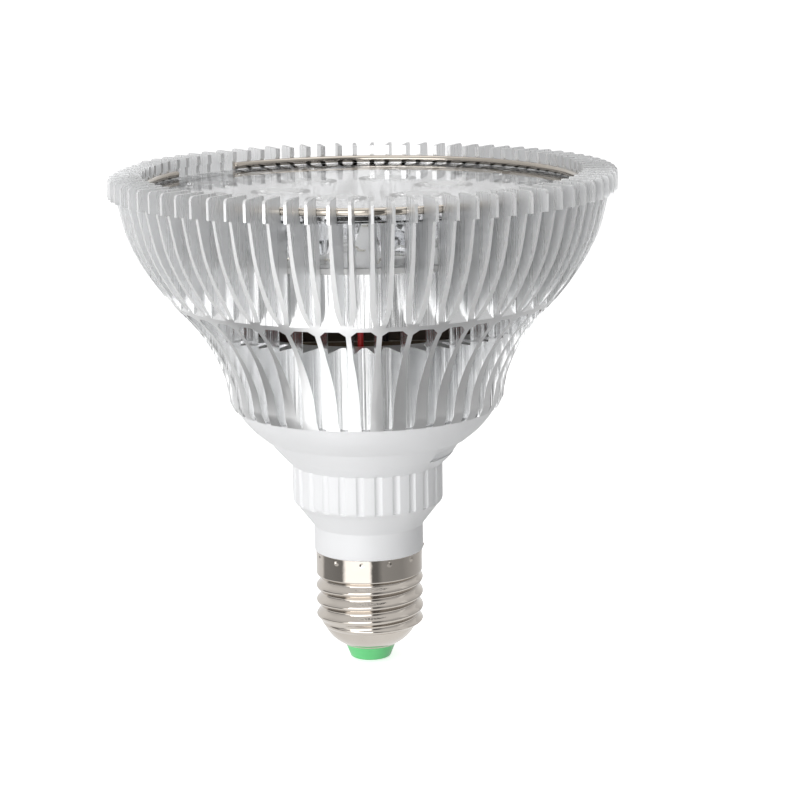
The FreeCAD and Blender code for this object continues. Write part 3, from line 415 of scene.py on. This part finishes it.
inner_radius, outer_radius, first_turn = 20, 40, 12
inner_places = [(inner_radius, first_turn + 60 * step) for step in range(6)]
outer_places = [(outer_radius, first_turn + 30 * step) for step in range(12)]
all_places = np.array(inner_places + outer_places, float)
red_numbers = [2, 5, 8, 11, 14, 17]
white_numbers = [number for number in range(1, 19) if number not in red_numbers]
body_profile = np.array([(0, 0.02), (3.9, 0.02), (4.0, 0.15), (4.0, 1.45), (3.85, 1.65),
                         (3.35, 1.95), (3.0, 1.98), (2.8, 1.6), (2.0, 1.1), (0, 1.1)])
chip_profile = np.array([(0, 1.1), (1.95, 1.1), (1.9, 1.25), (0, 1.3)])
dome_profile = np.concatenate([np.array([(0, 1.34), (1.95, 1.3), (2.74, 1.62)]),
                               arc_points((2.8, 2.0), (0, 4.8), 2.8, 14)])
white_resin, tree, shader = new_finish("white_diode_resin", (0.85, 0.85, 0.83), 0.4)
tint(tree, shader, grain(tree, 900), (0.91, 0.91, 0.9))
relief(tree, shader, grain(tree, 3000), 0.00001)
silicone, tree, shader = new_finish("clear_silicone", (0.98, 0.98, 0.97), 0.055)
shader.inputs["Transmission Weight"].default_value = 1.0
shader.inputs["IOR"].default_value = 1.41
vary_roughness(tree, shader, grain(tree, 700), 0.035)
tinned, tree, shader = new_finish("tinned_copper", (0.72, 0.69, 0.62), 0.29, 1.0)
vary_roughness(tree, shader, grain(tree, 2200), 0.11)
phosphor, tree, shader = new_finish("yellow_phosphor", (0.80, 0.62, 0.12), 0.6)
tint(tree, shader, grain(tree, 4000), (0.90, 0.74, 0.22))
red_chip, tree, shader = new_finish("red_chip", (0.60, 0.02, 0.02), 0.35)
tint(tree, shader, grain(tree, 4000), (0.80, 0.05, 0.03))
for colour, chip_finish, numbers in (("white", phosphor, white_numbers),
                                     ("red", red_chip, red_numbers)):
    places = all_places[np.array(numbers) - 1]
    nodes = [f"diode_{number:02d}" for number in numbers]
    for part, points, material, replaced in (
            ("bodies", turned_points(body_profile, 32), white_resin, nodes),
            ("chips", turned_points(chip_profile, 24), chip_finish, []),
            ("domes", turned_points(dome_profile, 32), silicone, []),
            ("leads", lead_points(), tinned, [])):
        piece = grid_piece(f"{colour}_diode_{part}", on_the_board(points, places))
        finish_piece(piece, material, f"{colour}_diode", *replaced)

# Driver: a resin laminate board that stands in the core and the housing, with its
# components soldered to both faces, inside an insulating film.
# The laminate's brown is its own colour, but it is kept dark as painted shade for the dim inside
# of the core.
laminate, tree, shader = new_finish("resin_laminate", (0.14, 0.10, 0.055), 0.45)
tint(tree, shader, grain(tree, 350), (0.20, 0.15, 0.09))
relief(tree, shader, grain(tree, 2500), 0.00002)
node_finish(laminate, "driver_board")

tape_bottom, tape_top = 0.0652, 0.0748
ferrite, tree, shader = new_finish("wound_ferrite", (0.05, 0.05, 0.055), 0.6)
height = coordinates(tree, "Object")["Z"]
is_tape = calculate(tree, "MULTIPLY", calculate(tree, "GREATER_THAN", height, tape_bottom),
                    calculate(tree, "LESS_THAN", height, tape_top))
tint(tree, shader, is_tape, (0.62, 0.44, 0.06))
relief(tree, shader, grain(tree, 1500), 0.00004)
node_finish(ferrite, "transformer")

can_sleeve, tree, shader = new_finish("black_can_sleeve", (0.015, 0.02, 0.04), 0.3)
tint(tree, shader, grain(tree, 300), (0.03, 0.035, 0.065))
node_finish(can_sleeve, "output_capacitor", "input_capacitor")

black_moulding, tree, shader = new_finish("black_moulding", (0.02, 0.02, 0.02), 0.55)
vary_roughness(tree, shader, grain(tree, 1800), 0.10)
relief(tree, shader, grain(tree, 2500), 0.00002)
node_finish(black_moulding, "bridge_rectifier", "control_chip", "power_transistor")

dipped, tree, shader = new_finish("dipped_resin", (0.38, 0.05, 0.02), 0.25)
tint(tree, shader, grain(tree, 400), (0.52, 0.08, 0.03))
node_finish(dipped, "film_capacitor")

winding, tree, shader = new_finish("choke_winding", (0.20, 0.07, 0.02), 0.4)
turns = grain(tree, 2500, (0.1, 1, 1))
tint(tree, shader, turns, (0.42, 0.17, 0.05))
relief(tree, shader, turns, 0.0001)
node_finish(winding, "choke")

# The film's dark brown is painted shade: it stands in for the shade inside the core, seen through
# the windows.
film, tree, shader = new_finish("insulating_film_painted_shade", (0.10, 0.075, 0.055), 0.5)
tint(tree, shader, grain(tree, 200), (0.15, 0.11, 0.085))
relief(tree, shader, grain(tree, 150), 0.0001)
node_finish(film, "insulating_liner")

for name, colour, nodes in (
        ("red_lead_insulation", (0.62, 0.03, 0.03), ("red_board_lead", "live_wire")),
        ("black_lead_insulation", (0.02, 0.02, 0.02), ("black_board_lead", "neutral_wire"))):
    insulation, tree, shader = new_finish(name, colour, 0.365)
    vary_roughness(tree, shader, grain(tree, 1500), 0.085)
    relief(tree, shader, grain(tree, 2500), 0.00002)
    node_finish(insulation, *nodes)

# Driver housing: one white plastic moulding. It plugs into the heat sink's core above
# and into the screw cap below, and it has a fluted collar to grip when it is screwed in.


def line_points(start, end, count):
    """Evenly spaced points from start to end in the (radius, height) plane."""
    share = np.linspace(0, 1, count)[:, None]
    return np.array(start, float) * (1 - share) + np.array(end, float) * share


def housing_points():
    """Housing: a closed profile turned about the axis, with flutes and scoops pressed in.

    The radius is the profile's, less the flute's depth where the turn is within a
    flute and the height is on the collar. Each scoop is deepest at its steep end and
    its floor comes back to the profile as the square of the way that is left.
    """
    crease, bowl_curve, scoop_bottom = 56.8, 22, 52.99
    collar_bottom, collar_top, least_collar_radius = 40.9, 50.3, 18.0
    outside = np.concatenate([
        line_points((12.5, 23.2), (12.5, 28.2), 3),
        line_points((12.5, 28.2), (13.0, 28.2), 2)[1:],
        arc_points((13.0, 28.2), (13.4, 28.6), 0.4, 6)[1:],
        line_points((13.4, 28.6), (13.4, 34.6), 4)[1:],
        arc_points((13.4, 34.6), (13.6, 35.0), -0.6, 4)[1:],
        line_points((13.6, 35.0), (17.6, 40.25), 6)[1:],
        arc_points((17.6, 40.25), (18.4, 41.5), 1.6, 6)[1:],
        line_points((18.4, 41.5), (18.4, 50.2), 12)[1:],
        arc_points((18.4, 50.2), (21.17, 52.98), bowl_curve, 6)[1:],
        arc_points((21.18, 53.0), (24.3, crease - 0.02), bowl_curve, 14),
        line_points((24.4, crease), (24.7, crease), 2),
        arc_points((24.7, crease), (24.9, crease + 0.2), 0.2, 4)[1:],
        arc_points((24.9, crease + 0.2), (31.7, 64.45), bowl_curve, 16)[1:],
        line_points((31.9, 64.65), (28.85, 64.68), 2),
    ])
    inside = np.array([(28.85, 72.2), (27.25, 72.2), (27.25, 63.9), (22.7, 56.0),
                       (16.8, 51.0), (16.8, 41.1), (10.9, 34.8), (10.9, 23.2)])
    closed = np.concatenate([outside, inside, outside[:1]])
    radius, height = closed[:, :1], closed[:, 1:]
    is_outside = np.arange(len(closed))[:, None] < len(outside)

    flute_count, first_flute = 26, -96.1
    flute_step = 360 / flute_count
    collar_radius, flute_radius, flute_depth = 18.4, 1.1, 0.55
    flute_turns = first_flute + flute_step * np.arange(flute_count)
    across_flute = np.array([-3.3, -2.9, -2.4, -1.7, -0.9, 0, 0.9, 1.7, 2.4, 2.9, 3.3])
    scoop_floor, scoop_sweep, scoop_wall = 20.4, 70, 0.7
    steep_ends = np.array([-45, 135])
    ends = np.concatenate([steep_ends, steep_ends + scoop_sweep])
    across_end = np.array([-0.8, -0.5, -0.2, 0.2, 0.5, 0.8])
    even = np.arange(0, 360, 1.2)
    fine = np.concatenate([(flute_turns[:, None] + across_flute).ravel(),
                           (ends[:, None] + across_end).ravel()]) % 360
    degrees = np.unique(np.round(np.concatenate([even, fine]), 3))

    off_flute = (degrees - first_flute + flute_step / 2) % flute_step - flute_step / 2
    under_root = np.clip(flute_radius ** 2 - (np.radians(off_flute) * collar_radius) ** 2, 0, None)
    dip = np.clip(np.sqrt(under_root) - (flute_radius - flute_depth), 0, None)
    on_collar = (is_outside & (height > collar_bottom) & (height < collar_top)
                 & (radius > least_collar_radius))
    reach = radius - on_collar * dip
    into_scoop = ((degrees[:, None] - steep_ends + 180) % 360 - 180).max(axis=1)
    into_scoop = np.where(into_scoop > 90, into_scoop - 180, into_scoop)
    past_wall = np.clip(into_scoop / scoop_wall + 0.5, 0, 1)
    way_left = np.clip(1 - into_scoop / scoop_sweep, 0, 1)
    pressed = past_wall ** 2 * (3 - 2 * past_wall) * way_left ** 2
    in_scoop = (is_outside & (height > scoop_bottom) & (height < crease - 0.01)
                & (radius > scoop_floor))
    reach = reach - (reach - scoop_floor) * pressed * in_scoop
    return round_points(reach, np.radians(degrees), height)


white_plastic, tree, shader = new_finish("white_moulded_plastic", (0.885, 0.89, 0.90), 0.39)
tint(tree, shader, grain(tree, 45), (0.905, 0.91, 0.92))
vary_roughness(tree, shader, grain(tree, 900), 0.07)
relief(tree, shader, grain(tree, 2600), 0.000008)
housing = grid_piece("white_driver_housing", housing_points())
finish_piece(housing, white_plastic, "housing", "driver_housing")

# Screw cap: thin brass sheet, drawn, rolled to a right-hand knuckle thread and nickel
# plated. Twelve punched dimples hold it on the housing's spigot.


def cap_points(sheet):
    """Screw cap: radius as a function of height and turn, outside and then inside.

    On the thread the radius is the mean radius plus half the thread's depth times the
    cosine of the turn less the thread's own turn at that height, and it fades into
    the cone and the band at the ends. Each dimple takes off a small bell. On the
    right the upper edge curls out and up, as the square of the way up from the
    dimples and as a flat bell round the cap.
    """
    thread_bottom, thread_top, pitch, fade_height = 8.7, 23.0, 3.63, 1.6
    mean_radius, half_depth, thread_start = 12.65, 0.55, 235
    cone_radius, band_radius = 11.2, 13.05
    dimple_height, dimple_depth, dimple_spread = 27.2, 0.26, 0.2
    first_dimple, dimple_step = 22, 30
    curl_out, curl_up, curl_width = 0.62, 0.8, 7
    mouth_height, band_middle, band_top = 4.1, 26.3, 28.1
    mouth = arc_points((6.4, mouth_height), (6.8, 4.35), 0.3, 4)[:-1]
    cone = arc_points((6.8, 4.35), (cone_radius, thread_bottom), 9, 18)
    thread = np.linspace(thread_bottom, thread_top, 86)[1:]
    band = np.concatenate([np.linspace(thread_top, band_middle, 8)[1:],
                           np.linspace(band_middle, band_top, 17)[1:]])
    edge = np.array([(13.04, 28.17), (12.98, 28.2), (12.9, 28.2)])
    height = np.concatenate([mouth[:, 1], cone[:, 1], thread, band, edge[:, 1]])[:, None]
    halfway = (thread_bottom + thread_top) / 2
    base = np.concatenate([mouth[:, 0], cone[:, 0],
                           np.where(thread < halfway, cone_radius, band_radius),
                           np.full(len(band), band_radius), edge[:, 0]])[:, None]
    degrees = np.arange(0, 360, 1.0)
    turn = np.radians(degrees)

    rise = np.clip(height - thread_bottom, 0, thread_top - thread_bottom)
    to_end = np.minimum(rise, thread_top - thread_bottom - rise)
    fade = np.clip(to_end / fade_height, 0, 1)
    fade = fade ** 2 * (3 - 2 * fade)
    wave = np.cos(turn - math.radians(thread_start) - 2 * math.pi * rise / pitch)
    radius = base * (1 - fade) + (mean_radius + half_depth * wave) * fade
    half_step = dimple_step / 2
    off_dimple = (degrees - first_dimple + half_step) % dimple_step - half_step
    distance = (np.radians(off_dimple) * band_radius) ** 2 + (height - dimple_height) ** 2
    radius = radius - dimple_depth * np.exp(-distance / dimple_spread)
    off_curl = ((degrees + 180) % 360 - 180) / curl_width
    curl = np.exp(-off_curl ** 4) * np.clip(height - dimple_height, 0, 1) ** 2
    radius = radius + curl_out * curl

    inside = slice(-1 - len(edge), None, -1)
    inner_height = np.maximum(height[inside], mouth_height + sheet * 0.6)
    reach = np.concatenate([radius, radius[inside] - sheet, radius[:1]])
    raised = curl_up * np.concatenate([curl, curl[inside], curl[:1]])
    lift = np.concatenate([height, inner_height, height[:1]]) + raised
    return round_points(reach, turn, lift)


nickel, tree, shader = new_finish("nickel_plate", (0.57, 0.525, 0.475), 0.08, 1.0)
tint(tree, shader, grain(tree, 150), (0.67, 0.62, 0.565))
vary_roughness(tree, shader, grain(tree, 420, (1, 1, 0.4)), 0.04)
relief(tree, shader, grain(tree, 300, (1, 1, 3)), 0.00003)
cap = grid_piece("threaded_screw_cap", cap_points(sheet=0.4))
finish_piece(cap, nickel, "screw_cap", "screw_cap")

# Base insulator: a green moulded frustum held in the cap's turned-in mouth, with the
# solder button of the centre contact at its tip.
green, tree, shader = new_finish("green_insulator", (0.17, 0.76, 0.28), 0.32)
tint(tree, shader, grain(tree, 200), (0.22, 0.82, 0.33))
shader.inputs["Subsurface Weight"].default_value = 0.15
shader.inputs["Subsurface Radius"].default_value = (0.001, 0.002, 0.001)
insulator_profile = np.concatenate([
    line_points((1.2, 0.6), (4.6, 0.6), 4),
    arc_points((4.6, 0.6), (4.98, 0.78), 0.45, 6)[1:],
    line_points((4.98, 0.78), (6.3, 4.1), 10)[1:],
    np.array([(6.25, 5.7), (7.2, 5.7), (7.2, 7.1), (1.2, 7.1)]),
])
insulator = grid_piece("green_base_insulator", turned_points(insulator_profile, 96))
finish_piece(insulator, green, "insulator", "base_insulator")

solder, tree, shader = new_finish("solder", (0.62, 0.62, 0.61), 0.375, 1.0)
vary_roughness(tree, shader, grain(tree, 900), 0.125)
relief(tree, shader, grain(tree, 1200), 0.00004)
contact_profile = np.concatenate([
    np.array([(0, 9.0), (0, 0)]),
    arc_points((0.05, 0.0), (1.9, 0.28), 6.2, 8),
    arc_points((1.9, 0.28), (2.4, 0.6), 0.6, 6)[1:],
    np.array([(1.1, 0.6), (1.1, 9.0)]),
])
contact = grid_piece("solder_contact", turned_points(contact_profile, 48))
finish_piece(contact, solder, "contact", "centre_contact")

# Studio: a pale floor that curves up behind, three large soft lamps and the camera at
# the photograph's angle. To glossy rays the floor glows in grey bands: painted reflections.
scene = bpy.context.scene
scene.view_settings.view_transform = "Standard"

floor_half_width, floor_front, floor_drop = 4.0, -3.0, 0.0002
bend_start, bend_radius, wall_top = 2.4, 0.8, 4.0
bend = np.linspace(0.1, math.pi / 2, 12)
back = np.concatenate([[floor_front, 1.6, bend_start], bend_start + bend_radius * np.sin(bend),
                       [bend_start + bend_radius]])
up = np.concatenate([[0, 0, 0], bend_radius - bend_radius * np.cos(bend), [wall_top]])
up = up - floor_drop
side = np.array([-floor_half_width, floor_half_width])
floor_points = np.stack(np.broadcast_arrays(side, back[:, None], up[:, None]), axis=-1)
first = np.arange(len(back) - 1) * 2
floor_faces = np.stack([first, first + 1, first + 3, first + 2], axis=-1)
floor_mesh = bpy.data.meshes.new("studio_floor")
floor_mesh.from_pydata(floor_points.reshape(-1, 3).tolist(), [], floor_faces.tolist())
floor_mesh.shade_smooth()
floor = bpy.data.objects.new("studio_floor", floor_mesh)
scene.collection.objects.link(floor)


def bands_around(tree, place, bands):
    """Grey levels round the lamp, as metal mirrors them; on the floor they are painted
    reflections.

    The way round, from behind by the left, the front and the right, goes from 0 to 1:
    half a turn plus the arctangent of X over minus Y, as a share of the whole turn.
    """
    turned = calculate(tree, "ARCTAN2", place["X"], calculate(tree, "MULTIPLY", place["Y"], -1.0))
    share = calculate(tree, "MULTIPLY_ADD", turned, 0.5 / math.pi, 0.5)
    ramp = tree.nodes.new("ShaderNodeValToRGB")
    while len(ramp.color_ramp.elements) < len(bands):
        ramp.color_ramp.elements.new(0.5)
    for element, (position, level) in zip(ramp.color_ramp.elements, bands):
        element.position = position
        element.color = (level, level, level, 1)
    tree.links.new(share, ramp.inputs["Fac"])
    return ramp.outputs["Color"]


def soft_choice(tree, value, start, end, before, after):
    """Goes from one value to another while a third passes from start to end."""
    share = tree.nodes.new("ShaderNodeMapRange")
    share.interpolation_type = "SMOOTHSTEP"
    share.inputs["From Min"].default_value = start
    share.inputs["From Max"].default_value = end
    tree.links.new(value, share.inputs["Value"])
    mix = tree.nodes.new("ShaderNodeMix")
    tree.links.new(share.outputs["Result"], mix.inputs["Factor"])
    feed(tree, before, mix.inputs["A"])
    feed(tree, after, mix.inputs["B"])
    return mix.outputs["Result"]


# The floor's glow to glossy rays, in grey bands round the lamp, is painted reflection of a dark
# and bright studio, which the metal mirrors.
camera_glow, lens_glow, mirror_glow, under_lamp = 0.7, 0.08, 1.8, 0.53
near_bands = [(0.0, 0.5), (0.175, 0.47), (0.2, 0.16), (0.34, 0.13), (0.362, 1.0), (0.502, 1.0),
              (0.516, 0.09), (0.545, 0.10), (0.575, 0.21), (0.70, 0.19), (0.88, 0.34), (1.0, 0.5)]
far_bands = [(0.0, 0.5), (0.17, 0.5), (0.2, 0.42), (0.33, 0.46), (0.36, 0.85), (0.49, 0.85),
             (0.52, 0.12), (0.56, 0.14), (0.60, 0.31), (0.85, 0.34), (0.95, 0.5), (1.0, 0.5)]
paper, tree, shader = new_finish("white_paper", (0.9, 0.9, 0.9), 0.9)
path = tree.nodes.new("ShaderNodeLightPath").outputs
seen = calculate(tree, "MULTIPLY_ADD", path["Is Camera Ray"], camera_glow,
                 calculate(tree, "MULTIPLY", path["Is Transmission Ray"], lens_glow))
glow = tree.nodes.new("ShaderNodeEmission")
tree.links.new(seen, glow.inputs["Strength"])
both = tree.nodes.new("ShaderNodeAddShader")
tree.links.new(shader.outputs["BSDF"], both.inputs[0])
tree.links.new(glow.outputs["Emission"], both.inputs[1])
place = coordinates(tree, "Object")
radius = axis_distance(tree, place)
near = soft_choice(tree, radius, start=0.032, end=0.042, before=under_lamp,
                   after=bands_around(tree, place, near_bands))
levels = soft_choice(tree, radius, start=0.15, end=0.24, before=near,
                     after=bands_around(tree, place, far_bands))
painted_reflection = tree.nodes.new("ShaderNodeEmission")
painted_reflection.inputs["Strength"].default_value = mirror_glow
tree.links.new(levels, painted_reflection.inputs["Color"])
choose = tree.nodes.new("ShaderNodeMixShader")
tree.links.new(path["Is Glossy Ray"], choose.inputs["Fac"])
tree.links.new(both.outputs["Shader"], choose.inputs[1])
tree.links.new(painted_reflection.outputs["Emission"], choose.inputs[2])
tree.links.new(choose.outputs["Shader"], tree.nodes["Material Output"].inputs["Surface"])
floor_mesh.materials.append(paper)

air_bands = [(0.0, 0.95), (0.17, 0.85), (0.205, 0.70), (0.345, 0.65), (0.375, 0.7), (0.50, 0.7),
             (0.515, 0.10), (0.55, 0.14), (0.585, 0.50), (0.80, 0.62), (0.90, 0.9), (1.0, 0.95)]
ceiling, left_fill, right_fill = 0.8, 0.74, 0.06
world = bpy.data.worlds.new("studio")
scene.world = world
world.use_nodes = True
tree = world.node_tree
path = tree.nodes.new("ShaderNodeLightPath").outputs
direct = calculate(tree, "MAXIMUM", path["Is Camera Ray"], path["Is Transmission Ray"])
way = coordinates(tree, "Generated")
around = soft_choice(tree, way["Z"], start=0.35, end=0.8,
                     before=bands_around(tree, way, air_bands), after=ceiling)
mirror = calculate(tree, "MULTIPLY", around, path["Is Glossy Ray"])
fill = soft_choice(tree, way["X"], start=-0.3, end=0.8, before=left_fill, after=right_fill)
filled = calculate(tree, "MULTIPLY", path["Is Diffuse Ray"], fill)
strength = calculate(tree, "MAXIMUM", direct, calculate(tree, "MAXIMUM", mirror, filled))
tree.links.new(strength, tree.nodes["Background"].inputs["Strength"])
tree.nodes["Background"].inputs["Color"].default_value = (1, 1, 1, 1)


def soft_lamp(name, place, aim, width, tall, power):
    """Rectangular lamp at a place, turned so that it shines at the aim."""
    lamp = bpy.data.lights.new(name, "AREA")
    lamp.shape = "RECTANGLE"
    lamp.size = width
    lamp.size_y = tall
    lamp.energy = power
    item = bpy.data.objects.new(name, lamp)
    scene.collection.objects.link(item)
    way = np.array(aim, float) - np.array(place, float)
    item.location = place
    item.rotation_euler = (math.atan2(math.hypot(way[0], way[1]), -way[2]), 0,
                           math.atan2(way[0], -way[1]) + math.pi)


soft_lamp("lamp_key", (-0.36, -0.80, 0.20), (0, 0, 0.07), width=0.80, tall=0.62, power=4.2)
soft_lamp("lamp_right", (0.85, -0.15, 0.25), (0, 0, 0.07), width=0.25, tall=0.9, power=0.15)
soft_lamp("lamp_top", (0.0, 0.1, 0.95), (0, 0, 0.1), width=0.7, tall=0.7, power=1.6)

image_width, focal_length = 800, 2491
camera_data = bpy.data.cameras.new("camera")
camera_data.sensor_width = 36
camera_data.lens = focal_length * camera_data.sensor_width / image_width
camera = bpy.data.objects.new("camera", camera_data)
scene.collection.objects.link(camera)
camera_place = (0, -0.595, 0.191)
pitch, yaw, roll = (math.radians(angle) for angle in (11.93, 0.79, -0.87))
forward = np.array([math.sin(yaw) * math.cos(pitch), math.cos(yaw) * math.cos(pitch),
                    -math.sin(pitch)])
level = np.array([math.cos(yaw), -math.sin(yaw), 0.0])
upward = np.cross(level, forward)
right = math.cos(roll) * level + math.sin(roll) * upward
top = -math.sin(roll) * level + math.cos(roll) * upward
pose = np.eye(4)
pose[:3] = np.stack([right, top, -forward, camera_place], axis=-1)
camera.matrix_world = Matrix(pose.tolist())
scene.camera = camera
